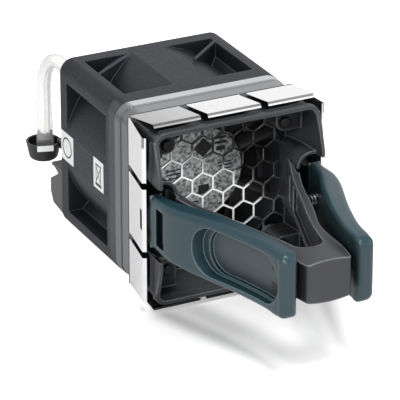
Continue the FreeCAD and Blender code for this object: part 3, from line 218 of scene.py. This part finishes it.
def latch_plastic(name, colour):
    """Levers: dark and saturated on top, which is painted shade, greyer on their faces, greyest in the finger
    recess.
    Painted shade darkens their nooks, and their edges are lighter with wear and a painted highlight.
    The side window's walls and the hooked end are near black, for the shade that they stand in."""
    f = Finish(name)
    drift = f.noise(26.0, 3.0)
    speck = f.noise(2600.0, 2.0)
    mottle = f.noise(420.0, 3.0)
    rounded = f.rounded(1.0 * MM)
    wear_and_highlight = f.edges(rounded) * (0.55 + 0.45 * f.noise(90.0, 4.0))
    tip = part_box("latch_lever_left")[0].y
    top_shade_colour = dusty(colour, -0.6)
    front = tip + 6.4 * MM
    window = f.inward(tip + 81.2 * MM, tip + 90.0 * MM, 12.5 * MM)
    hook = f.along("Y", tip + 96.5 * MM, tip + 97.5 * MM)
    recess = f.along("Y", front, front + 1.0 * MM) * f.along("Y", front + 53.0 * MM, front + 51.0 * MM)
    recess = recess * f.along("Z", -11.6 * MM, -10.8 * MM) * f.along("Z", 11.6 * MM, 10.8 * MM)
    face = f.mix(recess, shade(dusty(colour, 0.22), 0.80), shade(dusty(colour, 0.75), 1.10))
    # painted shade: the upward faces are darker and more saturated
    tone = f.mix(f.upward(), face, shade(top_shade_colour, 0.50))
    tone = f.mix(drift * 0.4, tone, shade(colour, 0.85))
    tone = f.mix(mottle * 0.35, tone, shade(dusty(colour, 0.5), 0.7))
    # painted shade in nooks
    tone = f.mix(f.shelter(12.0 * MM), shade(colour, 0.18), tone)
    # edges lighter: a little wear and a painted highlight
    tone = f.mix(wear_and_highlight * 0.9, tone, shade(dusty(colour, 0.3), 4.0))
    tone = f.mix(window.math("MAXIMUM", hook), tone, shade(colour, 0.06))
    return f.surface(Base_Color=tone, Roughness=0.25 + 0.10 * drift + 0.05 * speck,
                     Normal=f.bump(speck, 0.035 * MM, rounded), Specular_IOR_Level=0.36)


def moulded(name, colour, roughness=0.45, grain=0.035 * MM, edge_light=1.6, edge_radius=0.5 * MM, sheen=0.3,
            nook=0.45, reach=12.0 * MM, touch=None):
    """Moulded plastic: fine texture, slow drift in tone, painted shade in nooks, edges lighter with a little
    rubbed wear and a painted highlight.
    A touch gets the finish and its tone, and returns the tone changed for one part."""
    f = Finish(name)
    drift = f.noise(26.0, 3.0)
    speck = f.noise(2600.0, 2.0)
    rounded = f.rounded(edge_radius)
    wear_and_highlight = f.edges(rounded) * (0.55 + 0.45 * f.noise(90.0, 4.0))
    tone = f.mix(drift, shade(colour, 0.82), shade(colour, 1.18))
    if touch:
        tone = touch(f, tone)
    # painted shade in nooks
    tone = f.mix(f.shelter(reach), shade(colour, nook), tone)
    # edges lighter: a little wear and a painted highlight
    tone = f.mix(wear_and_highlight * 0.85, tone, shade(colour, edge_light))
    rough = roughness - 0.05 + 0.10 * drift + 0.05 * speck
    return f.surface(Base_Color=tone, Roughness=rough, Normal=f.bump(speck, grain, rounded),
                     Specular_IOR_Level=sheen)


def fan_painted_shading(f, tone):
    """Textured plastic with pale and dark flecks. Painted shade darkens its top, the upward faces that lean
    to either side, its border at the collar on top and the rear of its sides; painted light makes that border
    paler at its sides."""
    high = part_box("fan_frame")[1]
    collar_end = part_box("collar")[1].y
    front = f.along("Y", collar_end + 8.5 * MM, collar_end + 5.5 * MM)
    fleck = f.ramp(f.noise(1100.0, 3.0), [(0.36, 0.0), (0.64, 1.0)])
    tone = f.mix(fleck * 0.07, tone, (0.30, 0.31, 0.36, 1))
    tone = f.mix((1.0 - fleck) * 0.30, tone, NEAR_BLACK)
    rear = f.along("Y", high.y - 22.0 * MM, high.y - 4.0 * MM)
    top = f.along("Z", high.z - 1.5 * MM, high.z - 0.5 * MM)
    side = 1.0 - top
    # painted shade on the leaning faces, the top, the border's top and the rear of the sides; painted light
    # on the border's sides
    tone = f.mix(f.flank() * 0.45, tone, NEAR_BLACK)
    tone = f.mix(top * 0.18, tone, NEAR_BLACK)
    tone = f.mix(front * top * 0.20, tone, NEAR_BLACK)
    tone = f.mix(front * side * 0.12, tone, (0.35, 0.35, 0.36, 1))
    return f.mix(rear * side * 0.30, tone, NEAR_BLACK)


def sheet_metal(name, colour, roughness=0.3, stretch=(1, 1, 1), brushed=0.012 * MM, smudge=0.08,
                edge_radius=0.3 * MM):
    """Rolled or brushed metal with faint lines along one direction and handling marks."""
    f = Finish(name)
    lines = f.noise(900.0, 3.0, stretch)
    marks = f.noise(35.0, 4.0, roughness=0.65)
    tone = f.mix(marks, shade(colour, 0.90), shade(colour, 1.06))
    rounded = f.rounded(edge_radius)
    rough = roughness - smudge / 2 + smudge * marks + 0.06 * lines
    return f.surface(Base_Color=tone, Metallic=1.0, Roughness=rough, Normal=f.bump(lines, brushed, rounded))


def pierced_sheet(name, colour):
    """Bright grille, with painted shade that dims it towards its upper right corner, where it mirrors less
    light.
    """
    f = Finish(name)
    marks = f.noise(35.0, 4.0, roughness=0.65)
    lines = f.noise(900.0, 3.0)
    height = f.along("Z", -50.0 * MM, 50.0 * MM, -50.0, 50.0)
    height = height + f.along("X", -50.0 * MM, 50.0 * MM, -17.0, 17.0)
    # painted shade: the grille is dimmed towards its upper right
    painted_dimming = ((height - 4.0) * 0.125).math("MAXIMUM", 0.0).math("MINIMUM", 1.0)
    tone = f.mix(painted_dimming, shade(colour, 1.02), shade(colour, 0.35))
    tone = f.mix(marks * 0.3, tone, shade(colour, 0.75))
    return f.surface(Base_Color=tone, Metallic=1.0, Roughness=0.06 + 0.03 * marks + 0.06 * lines,
                     Normal=f.bump(lines, 0.002 * MM, f.rounded(0.2 * MM)))


def socket_insert(name, colour):
    """White insert. Its upper part is toned dark, for the shade inside the plug."""
    f = Finish(name)
    low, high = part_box("connector_insert")
    speck = f.noise(700.0, 3.0)
    upper = f.along("Z", low.z + 0.58 * (high.z - low.z), low.z + 0.62 * (high.z - low.z))
    tone = f.mix(speck, shade(colour, 0.9), shade(colour, 1.05))
    tone = f.mix(upper, tone, shade(colour, 0.07))
    return f.surface(Base_Color=tone, Roughness=0.38 + 0.06 * speck, Normal=f.bump(speck, 0.03 * MM))


def contact_strip(name, colour):
    """Spring metal with a fine grain. Painted shade makes it duller on top towards the lead's side, and dark
    at its rear edge, in the fold of its front edge on top, and on its front lip underneath."""
    f = Finish(name)
    lines = f.noise(900.0, 3.0, (1, 0.15, 1))
    marks = f.noise(35.0, 4.0, roughness=0.65)
    # painted shade: duller on top towards the lead's side
    painted_strip_shade = f.along("X", -46.0 * MM, -18.0 * MM, 0.0, 0.35) + f.along("X", -17.5 * MM, -15.5 * MM, 0.0, 0.65)
    painted_strip_shade = painted_strip_shade.math("MAXIMUM", f.along("Z", 45.6 * MM, 45.0 * MM, 0.0, 0.8))
    tone = f.mix(painted_strip_shade, shade(colour, 0.44), shade(colour, 1.08))
    tone = f.mix(marks * 0.25, tone, shade(colour, 0.72))
    # painted shade at the rear edge, in the front fold on top and on the front lip underneath
    low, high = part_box("gasket_top")
    rear = f.along("Y", high.y - 1.3 * MM, high.y - 1.0 * MM)
    lip = f.along("Y", low.y + 4.2 * MM, low.y + 3.4 * MM) * f.along("Z", -44.0 * MM, -44.6 * MM)
    fold = f.along("Y", low.y + 0.3 * MM, low.y + 0.5 * MM) * f.along("Y", low.y + 1.5 * MM, low.y + 1.2 * MM)
    tone = f.mix(fold * f.along("Z", 38.0 * MM, 39.0 * MM) * 0.8, tone, shade(colour, 0.10))
    tone = f.mix(rear.math("MAXIMUM", lip), tone, shade(colour, 0.05))
    rough = 0.16 + 0.10 * marks + 0.06 * lines
    return f.surface(Base_Color=tone, Metallic=1.0, Roughness=rough, Normal=f.bump(lines, 0.008 * MM))


def formed_collar(name, colour):
    """Rolled sheet in two bands, with painted shade in the step between them and along its front edge. A
    painted highlight makes its rear band brightest on top, and painted shade makes both bands darker on the
    sides and at the top left corner.
    """
    f = Finish(name)
    lines = f.noise(900.0, 3.0, (1, 8, 1))
    marks = f.noise(35.0, 4.0, roughness=0.65)
    # painted light and shade: bright on top, darker on the sides and at the top left corner
    upper = f.along("Z", 41.0 * MM, 45.0 * MM) * f.along("X", -40.5 * MM, -37.5 * MM, 0.12, 1.0)
    front = f.along("Y", COLLAR_BAND + 0.3 * MM, COLLAR_BAND - 0.3 * MM)
    step = f.along("Y", COLLAR_BAND - 0.2 * MM, COLLAR_BAND + 1.0 * MM)
    step = step * f.along("Y", COLLAR_BAND + 1.2 * MM, COLLAR_BAND + 0.8 * MM)
    rear_band = f.mix(upper, shade(colour, 0.48), shade(colour, 2.2))
    front_band = f.mix(upper, shade(colour, 0.55), shade(colour, 1.00))
    tone = f.mix(front, rear_band, front_band)
    # painted shade along the front edge
    edge = f.along("Y", COLLAR_BAND - 7.7 * MM, COLLAR_BAND - 8.2 * MM)
    tone = f.mix(step.math("MAXIMUM", edge), tone, shade(colour, 0.25))
    tone = f.mix(marks * 0.4, tone, shade(colour, 0.8))
    rough = 0.24 + 0.08 * marks + 0.06 * lines
    return f.surface(Base_Color=tone, Metallic=1.0, Roughness=rough,
                     Normal=f.bump(lines, 0.012 * MM, f.rounded(0.3 * MM)))


def clear_tube(name):
    """Clear soft sleeve, slightly milky, with a fine long grain."""
    f = Finish(name)
    cloud = f.noise(60.0, 3.0)
    grain = f.noise(500.0, 2.0, (1, 1, 0.1))
    rim = f.node("ShaderNodeLayerWeight", None, {"Blend": 0.35}, 1)
    haze = f.mix(rim, (1.0, 1.0, 1.0, 1), (0.55, 0.56, 0.56, 1))
    cover = 0.12 + 0.16 * cloud + 0.5 * rim ** 2
    return f.surface(Base_Color=haze, Roughness=0.10 + 0.12 * cloud, Alpha=cover,
                     Normal=f.bump(grain, 0.02 * MM), IOR=1.42)


def soft_jacket(name, colour):
    """Pale wire jackets with a painted glow, standing for light that passes through them."""
    f = Finish(name)
    cloud = f.noise(80.0, 3.0)
    tone = f.mix(cloud, shade(colour, 0.96), shade(colour, 1.08))
    # the emission is a painted glow
    return f.surface(Base_Color=tone, Roughness=0.35 + 0.1 * cloud, Emission_Color=tone,
                     Emission_Strength=0.22, Normal=f.bump(cloud, 0.02 * MM))


def paper(name, colour):
    f = Finish(name)
    fibre = f.noise(1800.0, 3.0)
    tone = f.mix(f.noise(60.0, 2.0), shade(colour, 0.94), shade(colour, 1.0))
    return f.surface(Base_Color=tone, Roughness=0.5 + 0.1 * fibre, Normal=f.bump(fibre, 0.006 * MM))


def film(name, colour):
    """Metallised film label, slightly wrinkled."""
    f = Finish(name)
    wrinkle = f.noise(140.0, 4.0)
    fleck = f.ramp(f.noise(620.0, 4.0), [(0.36, 0.0), (0.62, 1.0)])
    tone = f.mix(fleck, shade(colour, 0.18), shade(colour, 0.98))
    return f.surface(Base_Color=tone, Metallic=0.7, Roughness=0.32 + 0.15 * wrinkle,
                     Normal=f.bump(wrinkle, 0.1 * MM))


def winding(name, colour):
    """Enamelled wire, laid turn by turn."""
    f = Finish(name)
    turns = f.node("ShaderNodeTexWave", {"wave_type": "RINGS", "rings_direction": "Y"},
                   {"Vector": f.place(), "Scale": 320.0, "Distortion": 0.4, "Detail": 1.0})
    tone = f.mix(turns, shade(colour, 0.45), shade(colour, 1.1))
    return f.surface(Base_Color=tone, Metallic=0.6, Roughness=0.35 + 0.1 * turns,
                     Normal=f.bump(turns, 0.1 * MM))


def circuit_board(name, colour):
    f = Finish(name)
    tracks = f.node("ShaderNodeTexVoronoi", {"feature": "DISTANCE_TO_EDGE"},
                    {"Vector": f.place(), "Scale": 260.0})
    line = tracks < 0.06
    tone = f.mix(line, shade(colour, 1.0), shade(colour, 1.9))
    return f.surface(Base_Color=tone, Roughness=0.3 + 0.1 * f.noise(300.0), Normal=f.bump(line, 0.03 * MM))


RECORD_COLOURS = {entry["slot"]: entry["base_color"] for entry in frame["record"]["materials"]}
COLLAR_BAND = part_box("collar")[0].y + 8.6 * MM       # where the collar steps up to its front band


def tint(colour, factors):
    return tuple(channel * factor for channel, factor in zip(colour, factors))


def colour_of(slot):
    return tuple(RECORD_COLOURS[slot][:3])


FINISHES = {
    "fan_plastic": moulded("fan_plastic", tint(colour_of("fan_plastic"), (0.97, 1.0, 1.07)), 0.46,
                           edge_light=3.6, edge_radius=0.9 * MM, sheen=0.18, nook=0.40, reach=30.0 * MM,
                           touch=fan_painted_shading),
    "impeller_plastic": moulded("impeller_plastic", colour_of("impeller_plastic"), 0.38),
    "stator_plastic": moulded("stator_plastic", colour_of("stator_plastic"), 0.42),
    "collar_metal": formed_collar("collar_metal", colour_of("collar_metal")),
    "strip_metal": contact_strip("strip_metal", colour_of("strip_metal")),
    "bezel_plastic": moulded("bezel_plastic", colour_of("bezel_plastic"), 0.38, edge_light=5.0,
                             edge_radius=1.2 * MM, sheen=0.3, nook=0.22, reach=20.0 * MM),
    "handle_plastic": moulded("handle_plastic", colour_of("handle_plastic"), 0.40, edge_light=7.0,
                              edge_radius=1.4 * MM, sheen=0.3, nook=0.22, reach=20.0 * MM),
    "lever_plastic": latch_plastic("lever_plastic", colour_of("lever_plastic")),
    "grille_metal": pierced_sheet("grille_metal", colour_of("grille_metal")),
    "label_silver": film("label_silver", colour_of("label_silver")),
    "label_white": paper("label_white", colour_of("label_white")),
    "screw_steel": sheet_metal("screw_steel", shade(colour_of("screw_steel"), 0.16), 0.45,
                               edge_radius=0.5 * MM),
    "shaft_steel": sheet_metal("shaft_steel", colour_of("shaft_steel"), 0.2),
    "magnet": moulded("magnet", colour_of("magnet"), 0.6),
    "bearing_steel": sheet_metal("bearing_steel", colour_of("bearing_steel"), 0.2),
    "winding": winding("winding", colour_of("winding")),
    "board": circuit_board("board", colour_of("board")),
    "pin_steel": sheet_metal("pin_steel", colour_of("pin_steel"), 0.22),
    "spring_steel": sheet_metal("spring_steel", colour_of("spring_steel"), 0.25),
    "sleeve_clear": clear_tube("sleeve_clear"),
    "wire_jacket": soft_jacket("wire_jacket", colour_of("wire_jacket")),
    "boot_plastic": moulded("boot_plastic", shade(colour_of("boot_plastic"), 0.35), 0.5, edge_light=3.0),
    "connector_plastic": moulded("connector_plastic", colour_of("connector_plastic"), 0.36, edge_light=2.6),
    "insert_plastic": socket_insert("insert_plastic", colour_of("insert_plastic")),
    "contact_metal": sheet_metal("contact_metal", colour_of("contact_metal"), 0.25),
    "bracket_metal": moulded("bracket_metal", colour_of("bracket_metal"), 0.5, edge_light=1.8),
}

for entry in frame["record"]["subparts"]:
    carried = nodes[entry["node"]]
    carried.data.materials.clear()
    carried.data.materials.append(FINISHES[entry["material_slot"]])


# ---------------------------------------------------------------- helpers for new pieces
def deselect_all():
    bpy.ops.object.select_all(action="DESELECT")


def open_edit(piece):
    """Edit mode on one piece, with nothing selected, as a bmesh."""
    deselect_all()
    bpy.context.view_layer.objects.active = piece
    piece.select_set(True)
    bpy.ops.object.mode_set(mode="EDIT")
    bpy.ops.mesh.select_mode(type="FACE")
    bpy.ops.mesh.select_all(action="DESELECT")
    return bmesh.from_edit_mesh(piece.data)


def pick_faces(piece, mesh, test):
    for face in mesh.faces:
        face.select_set(test(face))
    bmesh.update_edit_mesh(piece.data)


def close_edit():
    bpy.ops.object.mode_set(mode="OBJECT")


def finish_piece(piece, name, body, slot):
    """Place applied, named, ridden and given its finish."""
    deselect_all()
    bpy.context.view_layer.objects.active = piece
    piece.select_set(True)
    bpy.ops.object.transform_apply(location=True, rotation=True, scale=True)
    piece.name = name
    piece.data.materials.clear()
    piece.data.materials.append(FINISHES[slot])
    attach(piece, body)


# ---------------------------------------------------------------- camera, stage, light
AIM = Vector((0.0, -65.4, 0.0)) * MM
AZIMUTH = math.radians(-26.5)
ELEVATION = math.radians(24.1)
DISTANCE = 1.6
LENS = 286.1
SENSOR = 36.0
SHIFT = (0.005, -0.068)
FLOOR_SIDE = 8.0
SKY_ON_FACES = 0.32          # the sky is 1 to the camera and in reflections, and this to the faces


def add_camera():
    away = Vector((math.sin(AZIMUTH) * math.cos(ELEVATION), -math.cos(AZIMUTH) * math.cos(ELEVATION),
                   math.sin(ELEVATION)))
    bpy.ops.object.camera_add(location=AIM + away * DISTANCE)
    camera = bpy.context.object
    camera.rotation_euler = away.to_track_quat("Z", "Y").to_euler()
    camera.data.lens = LENS
    camera.data.sensor_width = SENSOR
    camera.data.shift_x, camera.data.shift_y = SHIFT
    camera.data.clip_end = 20
    bpy.context.scene.camera = camera


def pale_floor(bezel_front):
    """Pale floor: white to the camera through a glow that is weaker towards the bezel's front, a painted
    shade that leaves the shadow deepest there.
    """
    f = Finish("floor_pale")
    sight = f.node("ShaderNodeLightPath", output=0)
    grain = f.noise(400.0, 2.0)
    base = f.mix(grain, (0.90, 0.90, 0.90, 1), (0.92, 0.92, 0.92, 1))
    # painted shade: the glow that camera rays see is weakest near the bezel's front
    away = f.node("ShaderNodeVectorMath", {"operation": "DISTANCE"}, {0: f.place(), 1: bezel_front}, 1)
    spread = {"Value": away, "From Min": 30.0 * MM, "From Max": 110.0 * MM}
    clear = f.node("ShaderNodeMapRange", None, spread) ** 1.3
    behind = f.along("Y", bezel_front[1] + 4.0 * MM, bezel_front[1] + 30.0 * MM)
    level = (0.8 * clear.math("MAXIMUM", behind) + 0.03) * sight
    return f.surface(Base_Color=base, Roughness=0.9, Emission_Strength=1.0,
                     Emission_Color=f.mix(level, (0, 0, 0, 1), (1, 1, 1, 1)))


def add_stage():
    lowest = cad_box[0][2]
    bpy.ops.mesh.primitive_plane_add(size=FLOOR_SIDE, location=(0, 0, lowest - 0.2 * MM))
    floor = bpy.context.object
    floor.name = "floor"
    floor.data.materials.append(pale_floor((-22.0 * MM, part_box("bezel")[0].y, 0.0)))


def add_lamp(name, place, size, power):
    bpy.ops.object.light_add(type="AREA", location=place)
    lamp = bpy.context.object
    lamp.name = name
    lamp.data.shape = "DISK"
    lamp.data.size = size
    lamp.data.energy = power
    lamp.data.color = (1, 1, 1)
    lamp.rotation_euler = (Vector(place) - AIM).to_track_quat("Z", "Y").to_euler()


def add_light():
    world = bpy.data.worlds.new("studio")
    bpy.context.scene.world = world
    world.use_nodes = True
    tree = world.node_tree
    tree.nodes.clear()
    path = tree.nodes.new("ShaderNodeLightPath")
    seen = tree.nodes.new("ShaderNodeMath")
    seen.operation = "MAXIMUM"
    tree.links.new(path.outputs["Is Camera Ray"], seen.inputs[0])
    tree.links.new(path.outputs["Is Glossy Ray"], seen.inputs[1])
    clear = tree.nodes.new("ShaderNodeMath")
    clear.operation = "MAXIMUM"
    tree.links.new(seen.outputs[0], clear.inputs[0])
    tree.links.new(path.outputs["Is Transmission Ray"], clear.inputs[1])
    level = tree.nodes.new("ShaderNodeMapRange")
    level.inputs["To Min"].default_value = SKY_ON_FACES
    level.inputs["To Max"].default_value = 1.0
    tree.links.new(clear.outputs[0], level.inputs["Value"])
    back = tree.nodes.new("ShaderNodeBackground")
    back.inputs["Color"].default_value = (1, 1, 1, 1)
    tree.links.new(level.outputs[0], back.inputs["Strength"])
    out = tree.nodes.new("ShaderNodeOutputWorld")
    tree.links.new(back.outputs[0], out.inputs["Surface"])
    add_lamp("top", (-0.07, -0.62, 1.40), 0.42, 13.5)
    add_lamp("key", (-1.1, -1.3, 0.8), 0.9, 17.0)
    add_lamp("fill", (1.3, -1.0, 0.6), 1.0, 5.0)


add_camera()
add_stage()
add_light()


# ---------------------------------------------------------------- rings and bars on the side labels
def label_ring():
    """Plain ring printed on the rear side label."""
    low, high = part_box("side_label_rear")
    centre = (low + high) / 2
    bpy.ops.mesh.primitive_circle_add(vertices=48, radius=5.6 * MM, fill_type="NGON",
                                      location=(low.x - 0.02 * MM, centre.y, centre.z),
                                      rotation=(0, -math.pi / 2, 0))
    ring = bpy.context.object
    mesh = open_edit(ring)
    pick_faces(ring, mesh, lambda face: True)
    bpy.ops.mesh.inset(thickness=0.9 * MM, depth=0)
    bpy.ops.mesh.delete(type="FACE")
    mesh = bmesh.from_edit_mesh(ring.data)
    pick_faces(ring, mesh, lambda face: True)
    bpy.ops.mesh.extrude_region_move(TRANSFORM_OT_translate={"value": (-0.03 * MM, 0, 0)})
    close_edit()
    finish_piece(ring, "label_ring", "module", "connector_plastic")


def thin_bar(centre, size, turn=(0, 0, 0)):
    """Small upright block, the building stone of the plain prints."""
    bpy.ops.mesh.primitive_cube_add(size=1.0, location=centre, rotation=turn)
    block = bpy.context.object
    block.scale = size
    return block


def joined(blocks):
    deselect_all()
    for block in blocks:
        block.select_set(True)
    bpy.context.view_layer.objects.active = blocks[0]
    bpy.ops.object.join()
    return bpy.context.object


def front_label_print():
    """Plain frame and bars on the front side label."""
    low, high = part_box("side_label_front")
    centre = (low + high) / 2
    x = low.x - 0.015 * MM
    bars = [thin_bar((x, centre.y, centre.z + 5.0 * MM), (0.03 * MM, 7.0 * MM, 0.8 * MM)),
            thin_bar((x, centre.y, centre.z - 5.6 * MM), (0.03 * MM, 7.0 * MM, 1.6 * MM))]
    for side in (-1, 1):
        bars.append(thin_bar((x, centre.y + side * 2.6 * MM, centre.z), (0.03 * MM, 0.6 * MM, 9.4 * MM)))
        bars.append(thin_bar((x, centre.y, centre.z), (0.03 * MM, 0.6 * MM, 10.5 * MM),
                             (side * math.radians(32), 0, 0)))
    finish_piece(joined(bars), "front_label_print", "module", "connector_plastic")


def hub_print():
    """Plain dark panel and bars on the hub's label."""
    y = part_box("hub_label")[0].y - 0.015 * MM
    bpy.ops.mesh.primitive_cylinder_add(vertices=4, radius=5.4 * MM, depth=0.03 * MM,
                                        location=(2.8 * MM, y, 13.4 * MM), rotation=(math.pi / 2, 0, 0))
    pieces = [bpy.context.object]
    for x, z, wide, tall in ((12.6, 17.2, 6.5, 1.2), (12.6, 14.6, 6.5, 1.2), (12.6, 11.4, 5.0, 2.4),
                             (15.0, 3.4, 8.0, 0.8), (15.0, 1.6, 8.0, 0.8), (15.0, -0.2, 5.5, 0.8),
                             (-13.5, 4.0, 9.0, 0.8), (-13.5, 1.8, 9.0, 0.8), (-13.5, -0.4, 6.0, 0.8),
                             (3.0, -9.5, 6.0, 5.0), (-5.0, -15.5, 10.0, 0.8), (-5.0, -17.5, 7.0, 0.8)):
        pieces.append(thin_bar((x * MM, y, z * MM), (wide * MM, 0.03 * MM, tall * MM)))
    finish_piece(joined(pieces), "hub_print", "module", "connector_plastic")


def recess_slot_shades(side, node, body):
    """Thin dark plates on the floor of a finger recess, painted shade that stands for the dark mouths of its
    two slots, a little nearer the pivot than the slots that are cut in the lever."""
    low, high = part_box(node)
    inner = max(low.x, high.x) if side < 0 else min(low.x, high.x)
    slots = []
    for bottom, top in ((-8.8, -4.0), (2.2, 4.4)):
        centre = (inner + side * 3.77 * MM, low.y + 15.0 * MM, (bottom + top) / 2 * MM)
        # painted shade: a dark plate stands for a slot's mouth
        bpy.ops.mesh.primitive_cube_add(size=1.0, location=centre)
        slot = bpy.context.object
        slot.scale = (0.6 * MM, 7.8 * MM, (top - bottom) * MM)
        slot.rotation_euler = (0.0, 0.0, math.radians(-7.8 * side))
        bpy.ops.object.transform_apply(location=False, rotation=True, scale=True)
        open_edit(slot)
        bpy.ops.mesh.select_all(action="SELECT")
        bpy.ops.mesh.bevel(offset=0.2 * MM, segments=2)
        close_edit()
        slots.append(slot)
    finish_piece(joined(slots), "recess_slots_" + body, body, "connector_plastic")


label_ring()
front_label_print()
hub_print()
recess_slot_shades(-1, "latch_lever_left", "lever_left")
recess_slot_shades(1, "latch_lever_right", "lever_right")

bpy.context.scene.view_settings.view_transform = "Standard"
